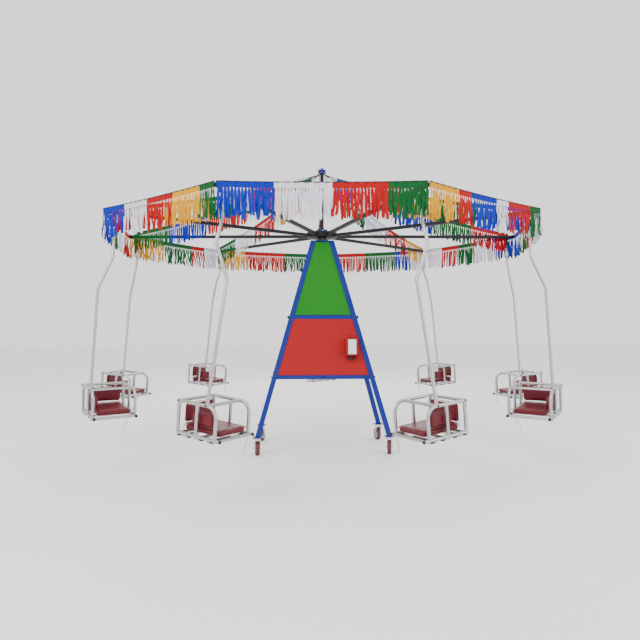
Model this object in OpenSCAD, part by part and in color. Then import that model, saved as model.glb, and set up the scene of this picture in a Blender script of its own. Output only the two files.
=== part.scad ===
// Portable chain-hung merry go round: a wheeled tower carries a powered hub with nine arms,
// and a caged child's seat hangs from each arm on a short chain and a cranked pole.
// The origin is on the ground, on the hub's axis. The front of the tower faces -Y.

/* [Tower] */
// Height of the tower head plate above the ground
tower_h = 2185; // [1900:5:2600]
// Distance between leg centres at the feet, side to side
base_w = 1318; // [1000:10:1700]
// Distance between leg centres at the feet, front to back
base_d = 740; // [660:10:1100]
// Distance between leg centres at the head, side to side
head_w = 196; // [180:5:320]
// Distance between leg centres at the head, front to back
head_d = 150; // [140:5:320]
// Side of the square leg tube
leg_s = 50; // [40:1:70]
// Wall of the square tubes
tube_wall = 3; // [2:0.5:5]
// Height of the lower frame that ties the legs
base_bar_z = 771; // [600:10:900]
// Height of the middle frame that ties the legs
mid_bar_z = 1382; // [1200:10:1500]
// Side of the square frame bars
bar_s = 38; // [30:1:45]
// Thickness of the cladding panels
panel_t = 3; // [2:0.5:6]

/* [Casters] */
// Wheel diameter
wheel_d = 140; // [100:5:160]
// Wheel tread width
wheel_w = 40; // [28:1:45]
// Height of the caster from the ground to the top of its plate
caster_h = 180; // [165:1:220]
// Distance the wheel axle trails its swivel axis
caster_trail = 34; // [20:1:45]

/* [Rotor] */
// Radius of the arm tips
arm_r = 2200; // [1800:10:2600]
// Height of the arm roots at the hub
arm_root_z = 2243; // [2243:1:2250]
// Rise of each arm from its root to its tip
arm_rise = 51; // [0:5:150]
// Distance of the hanging eye in from the arm's tip
eye_in = 85; // [40:5:120]
// Side of the square arm tube
arm_s = 30; // [24:1:40]
// Diameter of the hub drum
hub_d = 320; // [260:5:400]
// Height of the hub drum
hub_h = 53; // [45:1:70]
// Diameter of the main shaft
shaft_d = 50; // [40:1:60]
// Height of the spire's finned cap above the ground
spire_top_z = 2975; // [2700:5:3300]
// Diameter of the spire mast
mast_d = 38; // [30:1:48]
// Drop of the fringe below its string
fringe_drop = 270; // [150:5:300]

/* [Hangers] */
// Tube diameter of the pole
pole_d = 25.4; // [22:0.2:34]
// Depth below the chain pivot of the pole's upper bend
bend_a = 363; // [300:10:480]
// Depth below the chain pivot of the pole's lower bend
bend_b = 633; // [560:10:760]
// Depth below the chain pivot of the seat's top rail
rail_drop = 1498; // [1300:10:1700]
// Bend offsets as a share of their drawn size
bend_share = 1; // [0.8:0.05:1.2]
// Nose-down tilt of the seat when it hangs empty
seat_tilt = 5; // [0:1:8]

/* [Seat] */
// Length of each side hoop, from its back post to its front post
hoop_l = 350; // [300:5:420]
// Distance between the two side hoops
seat_w = 350; // [300:5:420]
// Height of the top rail above the floor frame
hoop_h = 225; // [200:5:300]
// Radius of the hoop's front corner
hoop_r = 80; // [60:5:110]
// Distance the floor frame runs past the front posts
floor_ext = 45; // [30:1:70]
// Tube diameter of the seat cage
cage_d = 25.4; // [20:0.5:30]
// Thickness of the seat cushion
cushion_t = 48; // [40:1:60]
// Thickness of the back and side pads
pad_t = 34; // [30:1:45]

/* [Control box] */
// Width of the control box
box_w = 133; // [120:1:180]
// Height of the control box
box_h = 178; // [160:1:240]
// Depth of the control box
box_d = 75; // [60:1:100]
// Height of the control box's centre above the ground
box_z = 1069; // [1000:1:1120]
// Sideways place of the control box's centre
box_x = 289; // [240:1:320]

/* [Hidden] */
$fn = 48;
SIDES = [-1, 1];
SEATS = [1, 2, 3, 4, 5, 6, 7, 8, 9];
ARM_COUNT = 9;
park = -3;           // angle the rotor is parked at
WHEELS = [1, 2, 3, 4];
SINGLES = ["legs", "base_frame", "mid_frame", "head_plate", "upper_panels", "lower_panels",
    "frame_bolts", "shaft_bearing", "drive_shelf", "gear_motor", "motor_pulley", "drive_pulley",
    "drive_belt", "control_box", "control_cover", "cable_glands", "main_shaft", "hub_drum",
    "hub_cap", "arms", "spire_mast", "spire_cap", "tie_cables", "rim_garland", "spoke_garland"];

fit_gap = 0.05;      // running clearance of a shaft in its bore, on the radius
clear = 0.5;         // clearance between neighbouring pieces
foot_t = 6;          // foot plate
foot_s = 96;
plate_t = 10;        // head plate

// Tower geometry: half widths of the leg centre lines at a height.
foot_z = caster_h + foot_t;
function run(z) = (tower_h - plate_t - z) / (tower_h - plate_t - foot_z);
function half_x(z) = (head_w + (base_w - head_w) * run(z)) / 2;
function half_y(z) = (head_d + (base_d - head_d) * run(z)) / 2;

// Seats 1 to 4 are on the left from front to back, 5 is at the back, and 6 to 9 are the right.
function row_of(i) = i <= 5 ? i - 1 : ARM_COUNT - i;
function side_of(i) = i <= 5 ? -1 : 1;
function dir_of(i) = (2 * row_of(i) + 1) * 180 / ARM_COUNT;
// Per row, drawn for the left side: heading of the seat anticlockwise from +X, place of the
// seat's middle from its pivot, and place of the pole's upper and lower bends from it.
SEAT_HEADINGS = [-32, -55, -15, -25, 180];
SEAT_OFFSETS = [[-40, -30], [-34, -20], [-130, 10], [-175, 30], [0, 40]];
BEND_A = [[-30, -45], [5, -40], [-10, -40], [-50, -20], [-10, 20]];
BEND_B = [[55, -85], [-105, -90], [-60, -60], [-110, 0], [-60, 120]];

// Arms and their eyes
arm_start = hub_d / 2 - 12;
arm_tip_z = arm_root_z + arm_rise;
arm_lean = atan2(arm_rise, arm_r - arm_start);
eye_r = 12;
eye_wire = 4;
eye_x = arm_r - eye_in;
eye_z = arm_root_z + arm_rise * (eye_x - arm_start) / (arm_r - arm_start) - arm_s / 2 - eye_r;
pivot_z = eye_z - eye_r;

// Chain links
link_wire = 3.5;
link_w = 10;         // half width between wire centres
link_l = 15;         // half length of the straight stretch
link_pitch = 2 * (link_l + link_w) - 2 * link_wire + 0.3;
link_top = eye_wire + link_wire + 0.3;
LINK_COUNT = 3;
// Lowest wire centre of the last link, which runs through the pole head's strap
last_wire = link_top - 2 * (link_l + link_w) - (LINK_COUNT - 1) * link_pitch;
strap_h = 18;        // strap above the head's body
head_h = 36;
head_d2 = pole_d + 14;
body_top = last_wire - 10;
pole_top = body_top - 12 - clear;

hub_z0 = arm_root_z - 18;
hub_z1 = hub_z0 + hub_h;
cap_h = 34;
mast_z0 = hub_z1 + 8;

// ---------- shared shapes ----------
function arc(cx, cy, r, a0, a1, n) = [for (k = [0:n]) [cx + r * cos(a0 + (a1 - a0) * k / n),
    cy + r * sin(a0 + (a1 - a0) * k / n)]];
function round_rect(l, w, r) = concat(arc(l / 2 - r, w / 2 - r, r, 0, 90, 6),
    arc(-l / 2 + r, w / 2 - r, r, 90, 180, 6), arc(-l / 2 + r, -w / 2 + r, r, 180, 270, 6),
    arc(l / 2 - r, -w / 2 + r, r, 270, 360, 6));

module slab(l, w, h, r) linear_extrude(h) polygon(round_rect(l, w, r));

// Anything drawn along +Z is laid from point a to point b.
module lay(a, b) {
    d = b - a;
    n = norm(d);
    translate(a) rotate([-asin(d.y / n), atan2(d.x, d.z), 0]) children();
}
module rod(a, b, d) lay(a, b) cylinder(h = norm(b - a), d = d);
module square_tube(a, b, s, over = 0) lay(a, b) translate([0, 0, -over]) difference() {
    n = norm(b - a) + 2 * over;
    translate([-s / 2, -s / 2, 0]) cube([s, s, n]);
    translate([-s / 2 + tube_wall, -s / 2 + tube_wall, -1])
        cube([s - 2 * tube_wall, s - 2 * tube_wall, n + 2]);
}
module at_corners() for (sx = SIDES, sy = SIDES) children_at(sx, sy) children();
module children_at(sx, sy) mirror([sx < 0 ? 1 : 0, 0, 0]) mirror([0, sy < 0 ? 1 : 0, 0]) children();

// ---------- tower ----------
module legs() color("mediumblue") at_corners() {
    intersection() {
        square_tube([half_x(foot_z), half_y(foot_z), foot_z],
            [half_x(tower_h - plate_t), half_y(tower_h - plate_t), tower_h - plate_t], leg_s, leg_s);
        translate([0, 0, foot_z - 1]) cube([base_w, base_d, tower_h - plate_t - foot_z + 1]);
    }
    translate([half_x(foot_z) - foot_s / 2, half_y(foot_z) - foot_s / 2, foot_z - foot_t])
        cube([foot_s, foot_s, foot_t]);
}
module frame_ring(z) {
    x = half_x(z);
    y = half_y(z);
    for (s = SIDES) {
        square_tube([-x + leg_s / 2 - 4, s * y, z], [x - leg_s / 2 + 4, s * y, z], bar_s);
        square_tube([s * x, -y + leg_s / 2 - 4, z], [s * x, y - leg_s / 2 + 4, z], bar_s);
    }
}
module base_frame() color("mediumblue") frame_ring(base_bar_z);
module mid_frame() color("mediumblue") frame_ring(mid_bar_z);

head_l = head_w + leg_s;
head_m = head_d + leg_s;
module head_plate() color("mediumblue") difference() {
    translate([-head_l / 2, -head_m / 2, tower_h - plate_t]) cube([head_l, head_m, plate_t]);
    translate([0, 0, tower_h - plate_t - 1]) cylinder(h = plate_t + 2, d = shaft_d + 14);
}

// A sheet that fills one face of the tower between two heights.
panel_in = 12;   // distance from the leg's outer face in to the sheet
module face_sheet(z0, z1, wide, deep) {
    w0 = wide[0] - leg_s / 2 + 1;
    w1 = wide[1] - leg_s / 2 + 1;
    d0 = deep[0] + leg_s / 2 - panel_in;
    d1 = deep[1] + leg_s / 2 - panel_in;
    lean = atan2(d0 - d1, z1 - z0);
    h = (z1 - z0) / cos(lean);
    translate([0, -d0, z0]) rotate([90 - lean, 0, 0])
        linear_extrude(panel_t) polygon([[-w0, 0], [w0, 0], [w1, h], [-w1, h]]);
}
module panel_set(z0, z1) {
    for (s = SIDES) {
        rotate([0, 0, s < 0 ? 0 : 180])
            face_sheet(z0, z1, [half_x(z0), half_x(z1)], [half_y(z0), half_y(z1)]);
        rotate([0, 0, s * 90])
            face_sheet(z0, z1, [half_y(z0), half_y(z1)], [half_x(z0), half_x(z1)]);
    }
}
module lower_panels() color("red")
    panel_set(base_bar_z + bar_s / 2 + 2, mid_bar_z - bar_s / 2 - 2);
module upper_panels() color("green")
    panel_set(mid_bar_z + bar_s / 2 + 2, tower_h - plate_t - 4);

// Knobs that stand out sideways from the legs at each frame
module leg_knob(z, r, h) translate([half_x(z) + leg_s / 2 + 1.5, half_y(z), z])
    rotate([0, 90, 0]) cylinder(h = h, r = r);
module frame_bolts() color("black") {
    at_corners() {
        leg_knob(mid_bar_z, 14, 18);
        leg_knob(base_bar_z, 9, 10);
    }
    // the small knob in the middle of the front bar
    translate([0, -half_y(base_bar_z) - bar_s / 2, base_bar_z]) rotate([90, 0, 0])
        cylinder(h = 12, r = 10);
}

// ---------- drive ----------
bracket_z = 1872;
belt_z = 1948;
big_r = 60;
small_r = 25;
drive_span = 110;
bearing_h = 26;
pulley_w = 26;
bracket_t = 8;

module shaft_bearing() color("dimgray") translate([0, 0, tower_h]) difference() {
    union() {
        translate([-60, -60, 0]) cube([120, 120, 12]);
        cylinder(h = bearing_h, r = 46);
    }
    translate([0, 0, -1]) cylinder(h = 40, r = shaft_d / 2 + fit_gap);
}
module drive_shelf() color("mediumblue") difference() {
    x = half_x(bracket_z) - leg_s / 2 + 5;
    y = half_y(bracket_z) - leg_s / 2 + 5;
    union() {
        translate([-x, -y, bracket_z]) cube([2 * x, 2 * y, bracket_t]);
        translate([-44, -44, bracket_z]) cube([88, 88, bracket_t + 10]);
        translate([0, 0, bracket_z]) cylinder(h = bracket_t + 34, r = 42);
    }
    translate([0, 0, bracket_z - 1]) cylinder(h = bracket_t + 60, r = shaft_d / 2 + fit_gap);
    translate([drive_span, 0, bracket_z - 1]) cylinder(h = bracket_t + 20, r = 15);
}
module gear_motor() color("dimgray") translate([drive_span, 0, 0]) {
    translate([-45, -45, bracket_z - 62]) cube([90, 90, 61.7]);
    translate([0, 0, bracket_z - 230]) cylinder(h = 169, r = 52);
    translate([0, 0, bracket_z - 10]) cylinder(h = belt_z + pulley_w - bracket_z + 8, r = 9);
}
module pulley(r, bore) difference() {
    union() {
        cylinder(h = pulley_w, r = r - 5);
        cylinder(h = 3, r = r);
        translate([0, 0, pulley_w - 3]) cylinder(h = 3, r = r);
    }
    translate([0, 0, -1]) cylinder(h = pulley_w + 2, r = bore);
}
module motor_pulley() color("silver") translate([drive_span, 0, belt_z]) pulley(small_r, 9 + fit_gap);
module drive_pulley() color("silver") translate([0, 0, belt_z]) pulley(big_r, shaft_d / 2 + fit_gap);

// Open belt round the two pulleys, from its two wraps and two tangent runs
belt_t = 3;
belt_gap = 0.4;
belt_tilt = asin((big_r - small_r) / drive_span);
function belt_line(o) = concat(
    arc(0, 0, big_r - 5 + o, 90 - belt_tilt, 270 + belt_tilt, 24),
    arc(drive_span, 0, small_r - 5 + o, -90 + belt_tilt, 90 - belt_tilt, 12));
module drive_belt() color("black") translate([0, 0, belt_z + 4])
    linear_extrude(pulley_w - 8) difference() {
        polygon(belt_line(belt_gap + belt_t));
        polygon(belt_line(belt_gap));
    }
module main_shaft() color("silver") {
    translate([0, 0, bracket_z + bracket_t - 4]) cylinder(h = hub_z1 - 2 - bracket_z - bracket_t + 4,
        d = shaft_d);
    translate([0, 0, tower_h + bearing_h + clear]) cylinder(h = 4, r = shaft_d / 2 + 9);
}

// ---------- control box ----------
// The box stands off the front cladding on its own frame of reference: the cladding's slope.
box_in = 0.5;      // depth the box is let into the cladding
face_lean = atan2(half_y(base_bar_z) - half_y(mid_bar_z), mid_bar_z - base_bar_z);
box_face_y = half_y(box_z) + leg_s / 2 - panel_in + panel_t / cos(face_lean) - box_in;
module on_front() translate([box_x, -box_face_y, box_z]) rotate([-face_lean, 0, 0]) children();
wall_t = 3;
cover_t = 4;
module control_box() color("crimson") on_front() difference() {
    translate([-box_w / 2, -box_d, -box_h / 2]) cube([box_w, box_d, box_h]);
    translate([-box_w / 2 + wall_t, -box_d - 1, -box_h / 2 + wall_t])
        cube([box_w - 2 * wall_t, box_d - wall_t + 1, box_h - 2 * wall_t]);
    for (x = GLANDS) translate([x, -box_d / 2, -box_h / 2 - 1])
        cylinder(h = wall_t + 2, r = gland_r + fit_gap);
}
GLANDS = [-24, 24];
gland_r = 10;
cable_r = 6;
module control_cover() color("crimson") on_front() {
    translate([-box_w / 2, -box_d - cover_t - 0.3, -box_h / 2]) cube([box_w, cover_t, box_h]);
    // blank label plate
    translate([-40.5, -box_d - cover_t - 1.8, -74]) cube([81, 2, 148]);
}
module cable_glands() color("black") on_front() for (x = GLANDS)
    translate([x, -box_d / 2, -box_h / 2]) difference() {
        union() {
            translate([0, 0, -40]) cylinder(h = 37, r = 13);
            translate([0, 0, -40]) cylinder(h = 52, r = gland_r);
            translate([0, 0, -12]) cylinder(h = 11.7, r = 17, $fn = 6);
        }
        translate([0, 0, -41]) cylinder(h = 60, r = cable_r);
    }
// ---------- rotor ----------
module hub_drum() color([0.12, 0.12, 0.13]) difference() {
    union() {
        translate([0, 0, hub_z0]) cylinder(h = hub_h, d = hub_d, $fn = 96);
        translate([0, 0, hub_z0 - 8]) cylinder(h = 9, d = shaft_d + 40);
    }
    translate([0, 0, hub_z0 - 9]) cylinder(h = hub_h + 7.3, r = shaft_d / 2 + fit_gap);
}
module hub_cap() color("royalblue") difference() {
    union() {
        translate([0, 0, hub_z1 + 0.3]) cylinder(h = 8, r = 95);
        translate([0, 0, hub_z1 + 0.3]) cylinder(h = cap_h, r = 58);
    }
    translate([0, 0, mast_z0]) cylinder(h = cap_h, r = mast_d / 2 + fit_gap);
}
function compass(i) = -90 + side_of(i) * dir_of(i) + park;
module at_arm(i) rotate([0, 0, compass(i)]) children();
module arms() color([0.13, 0.13, 0.14]) for (i = SEATS) at_arm(i) {
    square_tube([arm_start, 0, arm_root_z], [arm_r, 0, arm_tip_z], arm_s);
    translate([eye_x, 0, eye_z]) rotate([0, 90, 0]) rotate_extrude() translate([eye_r, 0])
        circle(r = eye_wire);
    translate([eye_x, 0, eye_z + eye_r]) cylinder(h = 9, r = 5);
}
module spire_mast() color([0.15, 0.14, 0.2]) translate([0, 0, mast_z0])
    cylinder(h = spire_top_z - 66 - mast_z0, d = mast_d);
// A cap with upright fins round it, which the tie cables hook on
module spire_cap() color("slateblue") translate([0, 0, spire_top_z - 66]) {
    cylinder(h = 10, r = 44);
    cylinder(h = 46, r = 16);
    translate([0, 0, 46]) cylinder(h = 20, r1 = 16, r2 = 5);
    for (a = [0:45:315]) rotate([0, 0, a]) translate([12, -2, 9]) cube([30, 4, 30]);
}
cable_d = 5;
tie_top_z = spire_top_z - 74;
tie_r = 0.62 * arm_r;
function arm_z(r) = arm_root_z + arm_rise * (r - arm_start) / (arm_r - arm_start);
module tie_cables() color("dimgray") for (i = SEATS) at_arm(i) {
    rod([mast_d / 2 + 4, 0, tie_top_z], [tie_r, 0, arm_z(tie_r) + arm_s / 2 + 3], cable_d);
    translate([tie_r, 0, arm_z(tie_r) + arm_s / 2 + 1]) cylinder(h = 6, r = 8);
}

// A fringe sheet hangs between two points, its string sagging as an arc between them.
module fringe(a, b, drop, sag) {
    d = b - a;
    run = norm([d.x, d.y]);
    n = 12;
    top = [for (k = [0:n]) [run * k / n, d.z * k / n - 4 * sag * (k / n) * (1 - k / n)]];
    low = [for (k = [n:-1:0]) top[k] - [0, drop]];
    translate(a) rotate([90, 0, atan2(d.y, d.x)]) translate([0, 0, -1])
        linear_extrude(2) polygon(concat(top, low));
}
string_r = arm_r + 6;
string_z = arm_tip_z + arm_s / 2 + 8;
function rim_point(i, r, z) = [r * cos(compass(i)), r * sin(compass(i)), z];
rim_sag = 10;
spoke_sag = 60;
spoke_start = 0.16;
spoke_side = 26;     // distance the spoke fringes hang beside their arms
rim_gap = 0.006;     // share of each span left open at its ends, so neighbours stay apart
module rim_garland() color("orange") for (k = SEATS) {
    a = rim_point(k, string_r, string_z);
    b = rim_point(k % ARM_COUNT + 1, string_r, string_z);
    fringe(a + rim_gap * (b - a), b - rim_gap * (b - a), fringe_drop, rim_sag);
}
spoke_drop = 0.85 * fringe_drop;
module spoke_garland() color("limegreen") for (i = SEATS) at_arm(i) {
    top = [mast_d / 2 + 12, spoke_side, spire_top_z - 84];
    tip = [string_r - 60, spoke_side, string_z + 14];
    fringe(top + spoke_start * (tip - top) - [0, 0, 4 * spoke_sag * spoke_start * (1 - spoke_start)],
        tip, spoke_drop, spoke_sag * pow(1 - spoke_start, 2));
}

// ---------- casters ----------
WHEEL_PLACES = [[-1, -1], [1, -1], [-1, 1], [1, 1]];
CASTER_HEADINGS = [100, 80, 80, 100];   // the way each wheel trails
module at_caster(i) translate([WHEEL_PLACES[i - 1].x * half_x(foot_z),
    WHEEL_PLACES[i - 1].y * half_y(foot_z), 0]) rotate([0, 0, CASTER_HEADINGS[i - 1]]) children();
fork_gap = wheel_w / 2 + 3;
axle_r = 6;
race_h = 14;
module caster_fork(i) color("silver") at_caster(i) {
    top = caster_h - clear;
    translate([0, 0, top - race_h]) cylinder(h = race_h, r = 34);
    difference() {
        union() {
            for (s = SIDES) translate([0, s * (fork_gap + 2) - 2, 0]) rotate([90, 0, 0])
                translate([0, 0, -4]) linear_extrude(4) polygon([[-26, top - race_h - 4],
                    [30, top - race_h - 4], [caster_trail + 16, wheel_d / 2 + 10],
                    [caster_trail + 14, wheel_d / 2 - 14], [caster_trail - 14, wheel_d / 2 - 14],
                    [caster_trail - 18, wheel_d / 2 + 8]]);
            translate([-26, -fork_gap - 4, top - race_h - 5]) cube([56, 2 * fork_gap + 8, 5.5]);
        }
        translate([caster_trail, 0, wheel_d / 2]) rotate([90, 0, 0])
            cylinder(h = 4 * fork_gap, r = axle_r - 0.05, center = true);
    }
    translate([caster_trail, 0, wheel_d / 2]) rotate([90, 0, 0])
        cylinder(h = 2 * fork_gap + 22, r = axle_r, center = true);
}
module caster_wheel(i) color("brown") at_caster(i) translate([caster_trail, 0, wheel_d / 2])
    rotate([90, 0, 0]) difference() {
        union() {
            rotate_extrude($fn = 96) polygon([[8, -wheel_w / 2 + 6], [wheel_d / 2 - 16, -wheel_w / 2 + 6],
                [wheel_d / 2 - 16, -wheel_w / 2], [wheel_d / 2 - 4, -wheel_w / 2],
                [wheel_d / 2, -wheel_w / 2 + 5], [wheel_d / 2, wheel_w / 2 - 5],
                [wheel_d / 2 - 4, wheel_w / 2], [wheel_d / 2 - 16, wheel_w / 2],
                [wheel_d / 2 - 16, wheel_w / 2 - 6], [8, wheel_w / 2 - 6]]);
            cylinder(h = wheel_w + 2, r = 17, center = true);
        }
        cylinder(h = wheel_w + 8, r = axle_r + fit_gap, center = true);
    }

// ---------- hangers ----------
// Right-hand hangers mirror the left-hand ones. The frame is the chain's pivot, world-aligned.
module at_pivot(i) rotate([0, 0, park]) mirror([side_of(i) > 0 ? 1 : 0, 0, 0])
    translate([-eye_x * sin(dir_of(i)), -eye_x * cos(dir_of(i)), pivot_z]) children();
module link() for (s = SIDES) {
    translate([s * link_w, 0, -link_l]) cylinder(h = 2 * link_l, r = link_wire);
    mirror([0, 0, s < 0 ? 1 : 0]) translate([0, 0, link_l]) rotate([90, 0, 0])
        rotate_extrude(angle = 180) translate([link_w, 0]) circle(r = link_wire);
}
module drop_chain(i) at_pivot(i) rotate([0, 0, -90 - dir_of(i)]) {
    color([0.1, 0.1, 0.1]) for (k = [0:LINK_COUNT - 1])
        translate([0, 0, link_top - link_l - link_w - k * link_pitch])
            rotate([0, 0, k % 2 == 0 ? 0 : 90]) link();
    color("gainsboro") difference() {
        union() {
            translate([0, 0, body_top - head_h]) cylinder(h = head_h, d = head_d2);
            translate([-5.8, -head_d2 / 2 + 5, body_top - 4]) cube([11.6, head_d2 - 10, strap_h + 4]);
        }
        translate([0, 0, body_top - head_h - 1]) cylinder(h = head_h - 11, r = pole_d / 2 + fit_gap);
        translate([0, 0, last_wire + 1.2]) rotate([0, 90, 0]) cylinder(h = head_d2, r = 5.4,
            center = true);
    }
}

// Seat cage: forward is +X, the outer side is -Y, and the top rail is at z = 0.
post_x = hoop_l / 2;
bridge_x = post_x - hoop_r - 8;    // cross tube that the pole stands on
ball_d = cage_d + 1.4;             // weld bead at a sharp corner
thin_d = cage_d - 0.8;             // cross tubes, a little thinner than the hoops
module hoop(y) translate([0, y, 0]) {
    translate([-post_x, 0, -hoop_h]) cylinder(h = hoop_h, d = cage_d);
    translate([0, 0, -hoop_h]) cylinder(h = hoop_h, d = thin_d);
    translate([-post_x, 0, 0]) rotate([0, 90, 0]) cylinder(h = hoop_l - hoop_r, d = cage_d);
    translate([post_x - hoop_r, 0, -hoop_r]) rotate([90, 0, 0])
        rotate_extrude(angle = 90) translate([hoop_r, 0]) circle(d = cage_d);
    translate([post_x, 0, -hoop_h]) cylinder(h = hoop_h - hoop_r, d = cage_d);
    translate([-post_x, 0, 0]) sphere(d = ball_d);
    translate([-post_x, 0, -hoop_h]) rotate([0, 90, 0])
        cylinder(h = hoop_l + floor_ext, d = cage_d + 1);
}
module cage() {
    w = seat_w / 2;
    for (s = SIDES) hoop(s * w);
    for (x = [-post_x + 1, bridge_x]) rod([x, -w, 0], [x, w, 0], thin_d);
    for (x = [-post_x + 18, post_x + floor_ext - 16]) rod([x, -w, -hoop_h], [x, w, -hoop_h], thin_d);
    // flat slats under the floor frame
    for (x = [-0.34, 0.02, 0.36] * hoop_l)
        translate([x - 22, -w - 4, -hoop_h - cage_d / 2 - 9]) cube([44, seat_w + 8, 10]);
    // black plugs in the open ends of the floor frame
    for (s = SIDES) translate([post_x + floor_ext - 2, s * w, -hoop_h]) rotate([0, 90, 0])
        cylinder(h = 8, d = cage_d - 4);
}
// The pole: a plain tube with two bends, from the chain head down to the cage's bridge tube
module pole(i) {
    r = row_of(i);
    upper = bend_share * BEND_A[r];
    lower = bend_share * BEND_B[r];
    foot = seat_point(r, [bridge_x, -seat_w / 2, 0]);
    path = [[0, 0, pole_top - 60], [upper.x, upper.y, -bend_a], [lower.x, lower.y, -bend_b], foot];
    translate([0, 0, pole_top - 60]) cylinder(h = 60, d = pole_d);
    for (k = [0:2]) rod(path[k], path[k + 1], pole_d);
    for (k = [0:2]) translate(path[k]) sphere(d = pole_d + 0.6);
}
// A point of the level seat frame, tilted and turned into the hanger's frame
function seat_point(row, p) = let(a = SEAT_HEADINGS[row], o = SEAT_OFFSETS[row],
    x = p.x * cos(seat_tilt) + p.z * sin(seat_tilt), z = -p.x * sin(seat_tilt) + p.z * cos(seat_tilt))
    [o.x + x * cos(a) - p.y * sin(a), o.y + x * sin(a) + p.y * cos(a), z - rail_drop];
module at_seat(i) at_pivot(i)
    translate([SEAT_OFFSETS[row_of(i)].x, SEAT_OFFSETS[row_of(i)].y, -rail_drop])
    rotate([0, 0, SEAT_HEADINGS[row_of(i)]]) rotate([0, seat_tilt, 0]) children();

module seat_frame(i) color("gainsboro") {
    at_pivot(i) pole(i);
    at_seat(i) cage();
}

// Pads: seat cushion on the floor frame, tall back pad, and a low pad along the outer side
floor_top = -hoop_h + cage_d / 2 + 1;
cushion_l = hoop_l + floor_ext - 1.5 * cage_d - 3;
cushion_w = seat_w - cage_d - 24;
back_h = hoop_h - cage_d - 34;
side_h = 110;
module seat_trim(i) at_seat(i) {
    color("firebrick") {
        translate([floor_ext / 2 - 4, 0, floor_top]) slab(cushion_l, cushion_w, cushion_t, 30);
        translate([-post_x + cage_d / 2 + 3, 0, floor_top + cushion_t + back_h / 2 - 7])
            rotate([0, 90, 0]) slab(back_h - 16, cushion_w, pad_t, 28);
        translate([20, -cushion_w / 2 + pad_t, floor_top + cushion_t + side_h / 2 + 2])
            rotate([90, 0, 0]) slab(0.62 * hoop_l, side_h, pad_t, 24);
    }
    // safety chain, hung from the inner front post and let down past the floor
    color("dimgray") rod([post_x + cage_d / 2 - 1, seat_w / 2, -hoop_r - 10],
        [post_x + floor_ext + 30, 0.17 * seat_w, -hoop_h - 90], 6);
}

legs();
base_frame();
mid_frame();
head_plate();
upper_panels();
lower_panels();
frame_bolts();
shaft_bearing();
drive_shelf();
gear_motor();
motor_pulley();
drive_pulley();
drive_belt();
control_box();
control_cover();
cable_glands();
main_shaft();
hub_drum();
hub_cap();
arms();
spire_mast();
spire_cap();
tie_cables();
rim_garland();
spoke_garland();
for (i = WHEELS) {
    caster_fork(i);
    caster_wheel(i);
}
for (i = SEATS) {
    drop_chain(i);
    seat_frame(i);
    seat_trim(i);
}
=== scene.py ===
import math
import random

import bpy
from mathutils import Matrix, Vector


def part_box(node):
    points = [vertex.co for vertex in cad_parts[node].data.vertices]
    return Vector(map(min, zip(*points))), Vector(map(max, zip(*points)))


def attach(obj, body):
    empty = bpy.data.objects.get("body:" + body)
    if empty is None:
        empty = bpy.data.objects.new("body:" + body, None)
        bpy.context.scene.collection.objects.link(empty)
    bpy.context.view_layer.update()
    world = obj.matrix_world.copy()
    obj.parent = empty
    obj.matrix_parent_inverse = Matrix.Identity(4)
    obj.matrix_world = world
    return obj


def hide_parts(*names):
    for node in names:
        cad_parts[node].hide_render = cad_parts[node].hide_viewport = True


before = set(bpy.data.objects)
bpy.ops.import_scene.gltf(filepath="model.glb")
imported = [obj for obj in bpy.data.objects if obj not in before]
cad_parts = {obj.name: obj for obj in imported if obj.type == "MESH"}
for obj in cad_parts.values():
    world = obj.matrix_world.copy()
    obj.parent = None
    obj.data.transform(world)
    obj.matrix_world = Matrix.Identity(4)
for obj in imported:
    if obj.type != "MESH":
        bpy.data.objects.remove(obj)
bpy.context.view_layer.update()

# ---------- sizes shared with the frame, in metres ----------
PARK = math.radians(-3)
ARMS = range(1, 10)
ARM_R = 2.200
EYE_R = 2.115
PIVOT_Z = 2.2529
STRING_R = 2.206
STRING_Z = 2.317
SPIRE_TOP = 2.975
RAIL_DROP = 1.498
HEADINGS = [-32, -55, -15, -25, 180]
OFFSETS = [(-0.040, -0.030), (-0.034, -0.020), (-0.130, 0.010), (-0.175, 0.030), (0.0, 0.040)]
SEAT_TILT = math.radians(5)
HOOP_L = 0.350
SEAT_W = 0.350
HOOP_H = 0.225
HOOP_R = 0.080
FLOOR_EXT = 0.045
TUBE_D = 0.0254
CUSHION = (0.354, 0.300, 0.048)
FRINGE_DROP = 0.270
SPOKE_DROP = 0.2295
RIM_SAG = 0.010
SPOKE_SAG = 0.060
SPOKE_START = 0.16
SPOKE_SIDE = 0.026


def row_of(arm):
    return arm - 1 if arm <= 5 else 9 - arm


def side_of(arm):
    return -1 if arm <= 5 else 1


def direction(arm):
    return math.radians((2 * row_of(arm) + 1) * 20)


def compass(arm):
    return math.radians(-90) + side_of(arm) * direction(arm) + PARK


def seat_matrix(arm):
    """From a seat's own place, its top rail at z = 0 and its front along +X, to the ride's."""
    row = row_of(arm)
    mirror = Matrix.Scale(-1, 4, (1, 0, 0)) if side_of(arm) > 0 else Matrix.Identity(4)
    pivot = Vector((-EYE_R * math.sin(direction(arm)), -EYE_R * math.cos(direction(arm)), PIVOT_Z))
    middle = pivot + Vector((OFFSETS[row][0], OFFSETS[row][1], -RAIL_DROP))
    turn = Matrix.Rotation(math.radians(HEADINGS[row]), 4, "Z")
    tilt = Matrix.Rotation(SEAT_TILT, 4, "Y")
    return Matrix.Rotation(PARK, 4, "Z") @ mirror @ Matrix.Translation(middle) @ turn @ tilt


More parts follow.
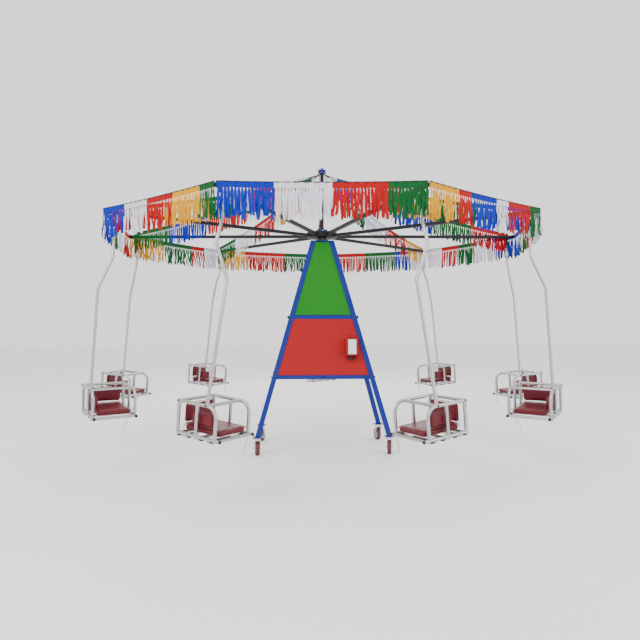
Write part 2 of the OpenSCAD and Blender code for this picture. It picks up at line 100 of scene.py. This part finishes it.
# ---------- camera, light and floor ----------
def place_camera():
    data = bpy.data.cameras.new("camera")
    camera = bpy.data.objects.new("camera", data)
    bpy.context.scene.collection.objects.link(camera)
    data.sensor_width = 36
    data.lens = 32.5
    data.shift_x = -0.003
    data.shift_y = 0.0078
    data.clip_end = 100
    camera.location = CAMERA_PLACE
    camera.rotation_euler = (math.radians(90), 0, math.radians(-3))
    bpy.context.scene.camera = camera


CAMERA_PLACE = (-0.3216, -6.1366, 1.300)
LIGHTS = {
    "key": ((-4.5, -6.5, 6.5), (0, 0, 1.4), 5.0, 420),
    "fill": ((6.0, -5.0, 4.0), (0, 0, 1.2), 5.0, 200),
    "back": ((0.5, 7.0, 5.5), (0, 0, 1.4), 5.0, 200),
}


def place_light(name, place, target, size, power):
    data = bpy.data.lights.new(name, "AREA")
    data.shape = "SQUARE"
    data.size = size
    data.energy = power
    lamp = bpy.data.objects.new(name, data)
    bpy.context.scene.collection.objects.link(lamp)
    lamp.location = place
    lamp.rotation_euler = (Vector(target) - Vector(place)).to_track_quat("-Z", "Y").to_euler()


# ---------- materials ----------
class Wire:
    """A shader value. Plain arithmetic on it adds the Math nodes."""

    def __init__(self, finish, socket):
        self.finish = finish
        self.socket = socket

    def maths(self, operation, *values):
        return self.finish.node("ShaderNodeMath", {"operation": operation}, *values)[0]

    def __add__(self, other):
        return self.maths("ADD", self, other)

    def __sub__(self, other):
        return self.maths("SUBTRACT", self, other)

    def __rsub__(self, other):
        return self.maths("SUBTRACT", other, self)

    def __mul__(self, other):
        return self.maths("MULTIPLY", self, other)

    def __gt__(self, other):
        return self.maths("GREATER_THAN", self, other)

    def sine(self):
        return self.maths("SINE", self)

    __radd__ = __add__
    __rmul__ = __mul__


class Finish:
    """One material and its Principled shader."""

    def __init__(self, name, colour, roughness, metallic=0.0, coat=0.0):
        self.material = bpy.data.materials.new(name)
        self.material.use_nodes = True
        self.tree = self.material.node_tree
        self.shader = self.tree.nodes["Principled BSDF"]
        self.shader.inputs["Base Color"].default_value = (*colour, 1)
        self.shader.inputs["Roughness"].default_value = roughness
        self.shader.inputs["Metallic"].default_value = metallic
        self.shader.inputs["Coat Weight"].default_value = coat

    def node(self, kind, settings, *values, **named):
        """A node of a kind, with its settings first and then its sockets' values or links."""
        made = self.tree.nodes.new(kind)
        for key, value in settings.items():
            setattr(made, key, value)
        for key, value in list(enumerate(values)) + list(named.items()):
            if isinstance(value, Wire):
                self.tree.links.new(value.socket, made.inputs[key])
            else:
                made.inputs[key].default_value = value
        return [Wire(self, socket) for socket in made.outputs]

    def feed(self, socket, wire):
        self.tree.links.new(wire.socket, self.shader.inputs[socket])

    def place(self):
        coordinates = self.node("ShaderNodeTexCoord", {})[3]
        return coordinates, self.node("ShaderNodeSeparateXYZ", {}, coordinates)

    def noise(self, coordinates, scale, detail=3.0):
        return self.node("ShaderNodeTexNoise", {}, Vector=coordinates, Scale=scale, Detail=detail)[0]

    def blend(self, factor, first, second):
        made = self.tree.nodes.new("ShaderNodeMix")
        made.data_type = "RGBA"
        for index, value in ((0, factor), (6, first), (7, second)):
            if isinstance(value, Wire):
                self.tree.links.new(value.socket, made.inputs[index])
            else:
                made.inputs[index].default_value = value if index == 0 else (*value, 1)
        return Wire(self, made.outputs[2])

    def bump(self, height, strength, distance):
        made = self.tree.nodes.new("ShaderNodeBump")
        made.inputs["Strength"].default_value = strength
        made.inputs["Distance"].default_value = distance
        self.tree.links.new(height.socket, made.inputs["Height"])
        self.feed("Normal", Wire(self, made.outputs[0]))


def shaded(colour, share):
    return tuple(channel * share for channel in colour)


def worn(name, colour, roughness, metallic=0.0, coat=0.0, scale=6.0, change=0.85, grain=0.0):
    """A finish whose colour and gloss drift a little over the surface, with an optional fine grain."""
    finish = Finish(name, colour, roughness, metallic, coat)
    if metallic < 0.5:
        finish.shader.inputs["Specular IOR Level"].default_value = 0.25
    coordinates, _ = finish.place()
    drift = finish.noise(coordinates, scale)
    finish.feed("Base Color", finish.blend(drift, shaded(colour, change), colour))
    finish.feed("Roughness", drift * 0.15 + (roughness - 0.07))
    if grain:
        finish.bump(finish.noise(coordinates, 900.0, 2.0), grain, 0.0004)
    return finish


def woven_panel(name, colour):
    """Sheet with a faint raised diamond weave."""
    finish = Finish(name, colour, 0.5)
    finish.shader.inputs["Specular IOR Level"].default_value = 0.3
    coordinates, (x, y, z) = finish.place()
    across = x + y
    rise = ((across + z) * 190).sine() * ((across - z) * 190).sine()
    tone = finish.noise(coordinates, 3.0)
    raised = rise * 0.5 + 0.5
    base = finish.blend(tone, shaded(colour, 0.9), colour)
    finish.feed("Base Color", finish.blend(raised * 0.35, base, shaded(colour, 0.68)))
    finish.bump(rise, 0.35, 0.0012)
    return finish


def two_tone(name, upper, lower, height, roughness, metallic_low):
    """Black links above a height and a bright head below it."""
    finish = Finish(name, lower, roughness)
    _, (_, _, z) = finish.place()
    above = z > height
    finish.feed("Base Color", finish.blend(above, lower, upper))
    finish.feed("Metallic", (1 - above) * metallic_low)
    return finish


def wheel_finish(name, centre):
    """Maroon tread round a grey wheel centre."""
    tread, core = (0.10, 0.022, 0.022), (0.42, 0.42, 0.43)
    finish = Finish(name, tread, 0.5)
    coordinates, _ = finish.place()
    from_centre = finish.node("ShaderNodeVectorMath", {"operation": "SUBTRACT"}, coordinates, centre)[0]
    reach = finish.node("ShaderNodeVectorMath", {"operation": "LENGTH"}, from_centre)[1]
    outer = reach > 0.0545
    finish.feed("Base Color", finish.blend(outer, core, tread))
    finish.feed("Roughness", outer * 0.2 + 0.4)
    return finish


def fringe_finish():
    """Crepe ribbon. Its colour is the piece's own attribute, crinkled along each strip and darkened by
    painted shade in the crinkle hollows.
    """
    finish = Finish("crepe_fringe", (0.5, 0.5, 0.5), 0.7)
    finish.shader.inputs["Specular IOR Level"].default_value = 0.2
    made = finish.node("ShaderNodeAttribute", {"attribute_name": "ribbon"})
    coordinates, _ = finish.place()
    crinkle = finish.noise(coordinates, 160.0, 4.0)
    # painted shade: a darker ribbon colour, blended in where the crinkle bump is low
    crease_shade = finish.node("ShaderNodeHueSaturation", {}, Saturation=1.1, Value=0.78, Color=made[0])[0]
    finish.feed("Base Color", finish.blend(crinkle, crease_shade, made[0]))
    finish.bump(crinkle, 0.5, 0.002)
    return finish


def vinyl_finish():
    finish = Finish("maroon_vinyl", (0.11, 0.004, 0.010), 0.42)
    finish.shader.inputs["Specular IOR Level"].default_value = 0.3
    coordinates, _ = finish.place()
    drift = finish.noise(coordinates, 9.0)
    finish.feed("Base Color", finish.blend(drift, (0.092, 0.0035, 0.008), (0.135, 0.005, 0.013)))
    finish.feed("Roughness", drift * 0.2 + 0.28)
    finish.bump(finish.noise(coordinates, 420.0, 3.0), 0.22, 0.0006)
    return finish


BLUE = (0.002, 0.017, 0.22)
FINISHES = {
    "blue": worn("blue_paint", BLUE, 0.36, coat=0.1),
    "green": woven_panel("green_sheet", (0.0005, 0.20, 0.0005)),
    "red": woven_panel("red_sheet", (0.38, 0.0005, 0.002)),
    "box": worn("red_box", (0.30, 0.001, 0.004), 0.38, coat=0.1),
    "black": worn("black_moulded", (0.018, 0.018, 0.020), 0.5),
    "satin": worn("satin_black_paint", (0.008, 0.007, 0.010), 0.5),
    "cast": worn("cast_housing", (0.17, 0.17, 0.18), 0.55, metallic=0.4, grain=0.3),
    "machined": worn("machined_steel", (0.55, 0.55, 0.57), 0.28, metallic=1.0),
    "violet": worn("violet_paint", (0.030, 0.018, 0.22), 0.3, coat=0.2),
    "rope": worn("dark_wire_rope", (0.045, 0.045, 0.055), 0.5, metallic=0.3),
    "tube": worn("bright_tube", (0.46, 0.45, 0.45), 0.30, metallic=0.95, scale=5.0, change=0.94),
    "zinc": worn("zinc_plate", (0.58, 0.58, 0.57), 0.34, metallic=0.85, scale=20.0),
    "label": worn("blank_label", (0.82, 0.83, 0.84), 0.35),
    "chain": two_tone("links_and_head", (0.015, 0.015, 0.016), (0.60, 0.60, 0.61),
                      PIVOT_Z - 0.122, 0.36, 0.7),
    "fringe": fringe_finish(),
    "vinyl": vinyl_finish(),
}

NODE_FINISH = {
    "blue": ["legs", "base_frame", "mid_frame", "head_plate", "drive_shelf", "hub_cap"],
    "green": ["upper_panels"],
    "red": ["lower_panels"],
    "box": ["control_box", "control_cover"],
    "black": ["frame_bolts", "cable_glands", "drive_belt"],
    "satin": ["hub_drum", "arms", "spire_mast"],
    "cast": ["shaft_bearing", "gear_motor"],
    "machined": ["motor_pulley", "drive_pulley", "main_shaft"],
    "violet": ["spire_cap"],
    "rope": ["tie_cables"],
    "zinc": [f"caster_fork_{k}" for k in range(1, 5)],
    "tube": [f"seat_frame_{k}" for k in ARMS],
    "chain": [f"drop_chain_{k}" for k in ARMS],
}


def coat_node(node, finish):
    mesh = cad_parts[node].data
    mesh.materials.clear()
    mesh.materials.append(finish.material)


def coat_frame():
    for key, nodes in NODE_FINISH.items():
        for node in nodes:
            coat_node(node, FINISHES[key])
    for wheel in range(1, 5):
        low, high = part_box(f"caster_wheel_{wheel}")
        centre = tuple((low[k] + high[k]) / 2 for k in range(3))
        coat_node(f"caster_wheel_{wheel}", wheel_finish(f"tread_{wheel}", centre))


# ---------- modelling helpers ----------
def nothing_selected():
    if bpy.context.object and bpy.context.object.mode != "OBJECT":
        bpy.ops.object.mode_set(mode="OBJECT")
    bpy.ops.object.select_all(action="DESELECT")


def just_added(name, finish):
    piece = bpy.context.object
    piece.name = name
    piece.data.name = name
    if finish:
        piece.data.materials.append(FINISHES[finish].material)
    return piece


def chosen(piece):
    nothing_selected()
    piece.select_set(True)
    bpy.context.view_layer.objects.active = piece


def settle(piece):
    """The piece's place goes into its mesh."""
    chosen(piece)
    bpy.ops.object.transform_apply(location=True, rotation=True, scale=True)
    return piece


def applied(piece, kind, **settings):
    modifier = piece.modifiers.new(kind, kind)
    for key, value in settings.items():
        setattr(modifier, key, value)
    chosen(piece)
    bpy.ops.object.modifier_apply(modifier=modifier.name)


# A straight-sided piece, its corners rounded where a bevel is given.
def block(name, size, place, finish, bevel=0.0, turn=(0, 0, 0)):
    nothing_selected()
    bpy.ops.mesh.primitive_cube_add(size=1, location=place, rotation=turn)
    piece = just_added(name, finish)
    piece.scale = size
    settle(piece)
    if bevel:
        applied(piece, "BEVEL", width=bevel, segments=3)
    return piece


def round_bar(name, start, end, radius, finish, sides=16):
    start, end = Vector(start), Vector(end)
    run = end - start
    nothing_selected()
    bpy.ops.mesh.primitive_cylinder_add(vertices=sides, radius=radius, depth=run.length,
                                        location=(start + end) / 2,
                                        rotation=run.to_track_quat("Z", "Y").to_euler())
    piece = settle(just_added(name, finish))
    chosen(piece)
    bpy.ops.object.shade_smooth_by_angle(angle=math.radians(40))
    return piece


def joined(name, pieces):
    chosen(pieces[0])
    for piece in pieces[1:]:
        piece.select_set(True)
    bpy.ops.object.join()
    whole = bpy.context.object
    whole.name = name
    whole.data.name = name
    return whole


def copied(pattern, name, matrix):
    """A copy with its own mesh, moved by a matrix, faces kept outwards where the matrix mirrors."""
    twin = bpy.data.objects.new(name, pattern.data.copy())
    bpy.context.scene.collection.objects.link(twin)
    twin.data.name = name
    twin.data.transform(matrix)
    if matrix.determinant() < 0:
        twin.data.flip_normals()
    return twin


def removed(piece):
    bpy.data.objects.remove(piece, do_unlink=True)


# ---------- fringes ----------
RIBBON = {
    "b": (0.0005, 0.018, 0.38),
    "w": (0.74, 0.72, 0.81),
    "r": (0.44, 0.001, 0.003),
    "g": (0.001, 0.10, 0.018),
    "y": (0.72, 0.33, 0.001),
}
# Blocks along each span of the rim, from its arm to the next one round.
RIM_BLOCKS = ["gyyrrwwbb", "bgwr", "yyggrw", "yyrrrggw", "yrrggbw", "wrgwb", "bgrw", "grrwbbryy",
              "ggrrrwwwbbb"]
SPOKE_BLOCKS = ["gyrw", "bgyr", "wrbg", "yrwg", "rbyw", "gwry", "wbgr", "rygb", "bwrg"]
STRIP = 0.024          # from one cut to the next
HEADER = 0.16          # share of the drop left uncut
MEAN_WIDTH = 0.90      # a strip's width, as a share of the pitch between cuts
MEAN_LENGTH = 0.92     # a strip's length, as a share of the longest
SPAN_INSET = 0.004     # share of a rim span left free at each arm
STRING_D = 0.008
STRING_POINTS = 14
HEADER_ROWS = 2
STRIP_ROWS = 7


def fringe(name, start, end, drop, sag, blocks, seed):
    """A band with cut strips below it, hung from a sagging string between two points."""
    start, end = Vector(start), Vector(end)
    run = end - start
    level = Vector((run.x, run.y, 0))
    along = level.normalized()
    out = Vector((along.y, -along.x, 0))
    strips = int(level.length / STRIP)
    columns = strips * 2
    rows = HEADER_ROWS + STRIP_ROWS
    nothing_selected()
    bpy.ops.mesh.primitive_grid_add(x_subdivisions=columns, y_subdivisions=rows, size=2)
    piece = just_added(name, "fringe")
    chance = random.Random(seed)
    traits = [
        {
            "length": 2 * MEAN_LENGTH - 1 + 2 * (1 - MEAN_LENGTH) * chance.random(),
            "sway": chance.uniform(-0.016, 0.016),
            "swing": chance.uniform(-0.012, 0.012),
            "twist": chance.uniform(-0.9, 0.9),
            "wave": chance.uniform(0, 6.28),
            "width": chance.uniform(2 * MEAN_WIDTH - 1, 1.0),
        }
        for _ in range(strips)
    ]
    mesh = piece.data
    places = []
    for vertex in mesh.vertices:
        column = round((vertex.co.x + 1) / 2 * columns)
        row = round((1 - vertex.co.y) / 2 * rows)
        places.append((column, row))
    header = HEADER * drop
    pitch = level.length / strips
    for vertex, (column, row) in zip(mesh.vertices, places):
        strip = min(column // 2, strips - 1)
        share = column / columns
        place = share * level.length
        across = 0.0
        if row <= HEADER_ROWS:
            down = header * row / HEADER_ROWS
            across = 0.003 * math.sin(place * 90)
        else:
            trait = traits[strip]
            t = (row - HEADER_ROWS) / STRIP_ROWS
            down = header + (drop - header) * t * trait["length"]
            middle = (strip + 0.25) * pitch
            half = pitch * 0.5 * trait["width"] * (1 if column % 2 else -1)
            if column == columns:
                middle, half = place, 0.0
            angle = trait["twist"] * t
            wave = 0.004 * math.sin(trait["wave"] + 9 * t)
            middle += trait["sway"] * t * t + wave * t
            place = middle + half * math.cos(angle)
            across = half * math.sin(angle) + trait["swing"] * t + wave
        share = min(max(place / level.length, 0.0), 1.0)
        drape = run.z * share - 4 * sag * share * (1 - share)
        vertex.co = start + along * place + out * across + Vector((0, 0, drape - down))
    chosen(piece)
    bpy.ops.object.mode_set(mode="EDIT")
    bpy.ops.mesh.select_mode(type="FACE")
    bpy.ops.mesh.select_all(action="DESELECT")
    bpy.ops.object.mode_set(mode="OBJECT")
    for face in mesh.polygons:
        corners = [places[index] for index in face.vertices]
        below = min(row for _, row in corners) >= HEADER_ROWS
        gap = min(column for column, _ in corners) % 2 == 1
        face.select = below and gap
    bpy.ops.object.mode_set(mode="EDIT")
    bpy.ops.mesh.delete(type="FACE")
    bpy.ops.object.mode_set(mode="OBJECT")
    ribbon = mesh.attributes.new("ribbon", "FLOAT_COLOR", "CORNER")
    for face in mesh.polygons:
        share = min(max((face.center - start).dot(along) / level.length, 0.0), 0.999)
        tone = chance.uniform(0.86, 1.0)
        colour = [channel * tone for channel in RIBBON[blocks[int(share * len(blocks))]]]
        for loop in face.loop_indices:
            ribbon.data[loop].color = (*colour, 1)
    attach(piece, "rotor")
    hem = string_over(name + "_string", start, end, sag)
    return piece


def string_over(name, start, end, sag):
    """The dark string that a fringe is sewn to."""
    data = bpy.data.curves.new(name, "CURVE")
    data.dimensions = "3D"
    data.bevel_depth = STRING_D / 2
    data.bevel_resolution = 1
    data.use_fill_caps = True
    line = data.splines.new("POLY")
    count = STRING_POINTS
    line.points.add(count)
    for k in range(count + 1):
        share = k / count
        place = start.lerp(end, share) - Vector((0, 0, 4 * sag * share * (1 - share)))
        line.points[k].co = (*place, 1)
    curve = bpy.data.objects.new(name, data)
    bpy.context.scene.collection.objects.link(curve)
    chosen(curve)
    bpy.ops.object.convert(target="MESH")
    hem = bpy.context.object
    hem.data.materials.append(FINISHES["rope"].material)
    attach(hem, "rotor")
    return hem


def rim_point(arm, radius, height):
    return Vector((radius * math.cos(compass(arm)), radius * math.sin(compass(arm)), height))


def hang_fringes():
    for arm in ARMS:
        following = arm % 9 + 1
        start, end = rim_point(arm, STRING_R, STRING_Z), rim_point(following, STRING_R, STRING_Z)
        inset = SPAN_INSET * (end - start)
        fringe(f"rim_fringe_{arm}", start + inset, end - inset, FRINGE_DROP,
                            RIM_SAG, RIM_BLOCKS[arm - 1], 100 + arm)
    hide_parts("rim_garland")
    for arm in ARMS:
        turn = Matrix.Rotation(compass(arm), 4, "Z")
        top = turn @ Vector((0.031, SPOKE_SIDE, SPIRE_TOP - 0.084))
        tip = turn @ Vector((STRING_R - 0.060, SPOKE_SIDE, STRING_Z + 0.014))
        start = top.lerp(tip, SPOKE_START)
        start.z -= 4 * SPOKE_SAG * SPOKE_START * (1 - SPOKE_START)
        fringe(f"spoke_fringe_{arm}", start, tip, SPOKE_DROP,
                             SPOKE_SAG * (1 - SPOKE_START) ** 2, SPOKE_BLOCKS[arm - 1], 200 + arm)
        lead = round_bar(f"spoke_lead_{arm}", top, start, 0.003, "rope", 8)
        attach(lead, "rotor")
    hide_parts("spoke_garland")


# ---------- seat pads ----------
SWELL = 0.006          # the most that a pad's surface may move as it fills


def pad_pattern(name, size, corner):
    """A stuffed pad: a rounded slab, swollen as its filling does, lying flat in XY."""
    inner = [side - 2 * SWELL for side in size]
    nothing_selected()
    bpy.ops.mesh.primitive_cube_add(size=1)
    pad = just_added(name, "vinyl")
    pad.scale = inner
    settle(pad)
    chosen(pad)
    bpy.ops.object.mode_set(mode="EDIT")
    bpy.ops.mesh.select_mode(type="EDGE")
    bpy.ops.mesh.select_all(action="DESELECT")
    bpy.ops.object.mode_set(mode="OBJECT")
    for edge in pad.data.edges:
        a, b = (pad.data.vertices[index].co for index in edge.vertices)
        edge.select = abs(a.z - b.z) > 0.5 * inner[2]
    bpy.ops.object.mode_set(mode="EDIT")
    bpy.ops.mesh.bevel(offset=corner, segments=6)
    bpy.ops.object.mode_set(mode="OBJECT")
    applied(pad, "BEVEL", width=0.009, segments=3)
    applied(pad, "REMESH", mode="VOXEL", voxel_size=0.006)
    swell(pad, SWELL)
    chosen(pad)
    applied(pad, "SUBSURF", levels=1, render_levels=1)
    chosen(pad)
    bpy.ops.object.shade_smooth()
    return pad


def swell(pad, most):
    before = [vertex.co.copy() for vertex in pad.data.vertices]
    cloth = pad.modifiers.new("swell", "CLOTH")
    cloth.settings.use_pressure = True
    cloth.settings.uniform_pressure_force = 4
    cloth.settings.effector_weights.gravity = 0
    cloth.point_cache.frame_start = 1
    cloth.point_cache.frame_end = 20
    for moment in range(1, 21):
        bpy.context.scene.frame_set(moment)
    chosen(pad)
    bpy.ops.object.modifier_apply(modifier=cloth.name)
    bpy.context.scene.frame_set(1)
    for vertex, old in zip(pad.data.vertices, before):
        moved = vertex.co - old
        if moved.length > most:
            vertex.co = old + moved.normalized() * most


def piping(name, length, width, corner, height):
    """The welt round a pad's edge."""
    data = bpy.data.curves.new(name, "CURVE")
    data.dimensions = "3D"
    data.bevel_depth = 0.0028
    data.bevel_resolution = 1
    data.use_fill_caps = True
    line = data.splines.new("POLY")
    points = []
    for quarter in range(4):
        cx = (length / 2 - corner) * (1 if quarter in (0, 3) else -1)
        cy = (width / 2 - corner) * (1 if quarter in (0, 1) else -1)
        for k in range(7):
            angle = math.radians(90 * quarter + 15 * k)
            points.append((cx + corner * math.cos(angle), cy + corner * math.sin(angle), height))
    line.points.add(len(points) - 1)
    for point, place in zip(line.points, points):
        point.co = (*place, 1)
    line.use_cyclic_u = True
    curve = bpy.data.objects.new(name, data)
    bpy.context.scene.collection.objects.link(curve)
    chosen(curve)
    bpy.ops.object.convert(target="MESH")
    welt = bpy.context.object
    welt.data.materials.append(FINISHES["vinyl"].material)
    bpy.ops.object.shade_smooth()
    return welt


def pad_set():
    """The three pads of a seat and where each lies in the seat's own place."""
    flat = Matrix.Identity(4)
    upright = Matrix.Rotation(math.radians(90), 4, "Y")
    sideways = Matrix.Rotation(math.radians(90), 4, "X")
    floor_top = -HOOP_H + TUBE_D / 2 + 0.001
    seat_top = floor_top + CUSHION[2]
    plan = [
        ("cushion", (CUSHION[0], CUSHION[1], CUSHION[2]), 0.030,
         Matrix.Translation((FLOOR_EXT / 2 - 0.004, 0, floor_top + CUSHION[2] / 2)) @ flat),
        ("back_pad", (0.1496, CUSHION[1], 0.034), 0.028,
         Matrix.Translation((-0.1423, 0, seat_top + 0.0758)) @ upright),
        ("side_pad", (0.217, 0.110, 0.034), 0.024,
         Matrix.Translation((0.020, -0.1333, seat_top + 0.057)) @ sideways),
    ]
    patterns = []
    for name, size, corner, place in plan:
        pad = pad_pattern(name, size, corner)
        rim = piping(name + "_piping", size[0] - 0.005, size[1] - 0.005, corner, size[2] / 2 - 0.009)
        patterns.append((name, pad, rim, place))
    return patterns


# ---------- chains and small seat pieces ----------
def chain_link(name, length, width, wire, finish):
    nothing_selected()
    bpy.ops.mesh.primitive_torus_add(major_radius=width / 2 - wire, minor_radius=wire,
                                     major_segments=10, minor_segments=6)
    link = just_added(name, finish)
    for vertex in link.data.vertices:
        vertex.co.y += (length - width) / 2 * (1 if vertex.co.y > 0 else -1)
    chosen(link)
    bpy.ops.object.shade_smooth()
    return link


def safety_chain():
    """Links from the inner front post down past the floor, and the hook at the end."""
    top = Vector((HOOP_L / 2 + TUBE_D / 2 + 0.002, SEAT_W / 2, -HOOP_R - 0.010))
    low = Vector((HOOP_L / 2 + FLOOR_EXT + 0.030, 0.17 * SEAT_W, -HOOP_H - 0.072))
    pattern = chain_link("link_pattern", 0.022, 0.011, 0.0016, "zinc")
    count = int((low - top).length / 0.0186)
    pieces = []
    for k in range(count):
        share = (k + 0.5) / count
        place = top.lerp(low, share)
        place += Vector((0.006, 0, -0.020)) * math.sin(math.pi * share)
        turn = (low - top).to_track_quat("Y", "Z").to_matrix().to_4x4()
        spin = Matrix.Rotation(math.radians(90 * (k % 2) + 12), 4, "Y")
        pieces.append(copied(pattern, f"safety_link_{k}", Matrix.Translation(place) @ turn @ spin))
    removed(pattern)
    hook = chain_link("hook", 0.036, 0.016, 0.002, "zinc")
    hook.data.transform(Matrix.Translation(low + Vector((0, 0, -0.014)))
                        @ Matrix.Rotation(math.radians(90), 4, "X"))
    return joined("safety_chain", pieces + [hook])


def seat_fittings():
    """Black plugs, feet and bolt heads on a seat cage."""
    pieces = []
    half = SEAT_W / 2
    front = HOOP_L / 2 + FLOOR_EXT
    for side in (-1, 1):
        pieces.append(round_bar("plug", (front - 0.001, side * half, -HOOP_H),
                                (front + 0.007, side * half, -HOOP_H), 0.0125, "black"))
        for x in (-0.155, -0.06, 0.055, 0.150):
            pieces.append(block("foot", (0.030, 0.020, 0.010),
                                (x, side * half, -HOOP_H - TUBE_D / 2 - 0.003), "black", 0.002))
        for x in (-0.174, 0.087):
            pieces.append(round_bar("bolt", (x, side * (half + 0.010), 0.002),
                                    (x, side * (half + 0.017), 0.002), 0.0075, "black", 6))
    return joined("seat_fittings", pieces)


def dress_seats():
    pads = pad_set()
    chain = safety_chain()
    fittings = seat_fittings()
    for arm in ARMS:
        place = seat_matrix(arm)
        body = f"seat_{arm}"
        for name, pad, rim, lie in pads:
            piece = copied(pad, f"{name}_{arm}", place @ lie)
            welt = copied(rim, f"{name}_piping_{arm}", place @ lie)
            for made in (piece, welt):
                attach(made, body)
            if name == "cushion":
                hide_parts(f"seat_trim_{arm}")
        hung = copied(chain, f"safety_chain_{arm}", place)
        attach(hung, body)
        small = copied(fittings, f"seat_fittings_{arm}", place)
        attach(small, body)
    for name, pad, rim, lie in pads:
        removed(pad)
        removed(rim)
    removed(chain)
    removed(fittings)


# ---------- tower details ----------
def dress_tower():
    low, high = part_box("control_cover")
    middle = [(low[k] + high[k]) / 2 for k in range(3)]
    lean = math.atan2(0.0902, 0.611)
    turn = (-lean, 0, 0)
    front = Matrix.Rotation(-lean, 4, "X") @ Vector((0, -1, 0))
    face = Vector(middle) + front * 0.0040
    label = block("label_plate", (0.081, 0.0016, 0.148), face, "label", 0.0006, turn)
    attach(label, "cover")
    side = Vector((high[0] + 0.007, middle[1] + 0.035, middle[2] + 0.060))
    fitting = block("side_fitting", (0.018, 0.022, 0.030), side, "black", 0.003, turn)
    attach(fitting, "tower")
    bolts = []
    for k in range(12):
        angle = 2 * math.pi * k / 12
        place = Vector((0.135 * math.cos(angle), 0.135 * math.sin(angle), 2.277))
        bolts.append(round_bar("hub_bolt", place, place + Vector((0, 0, 0.008)), 0.008, "machined", 6))
    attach(joined("hub_bolts", bolts), "rotor")


def set_stage():
    nothing_selected()
    bpy.ops.mesh.primitive_plane_add(size=60, location=(0, 0, -0.001))
    floor = bpy.context.object
    floor.name = "floor"
    floor.data.materials.append(Finish("pale_floor", (0.90, 0.90, 0.90), 0.85).material)
    world = bpy.data.worlds.new("studio")
    world.use_nodes = True
    world.node_tree.nodes["Background"].inputs[0].default_value = (1, 1, 1, 1)
    world.node_tree.nodes["Background"].inputs[1].default_value = 1.5
    bpy.context.scene.world = world
    for name, settings in LIGHTS.items():
        place_light(name, *settings)


place_camera()
set_stage()
coat_frame()
hang_fringes()
dress_seats()
dress_tower()
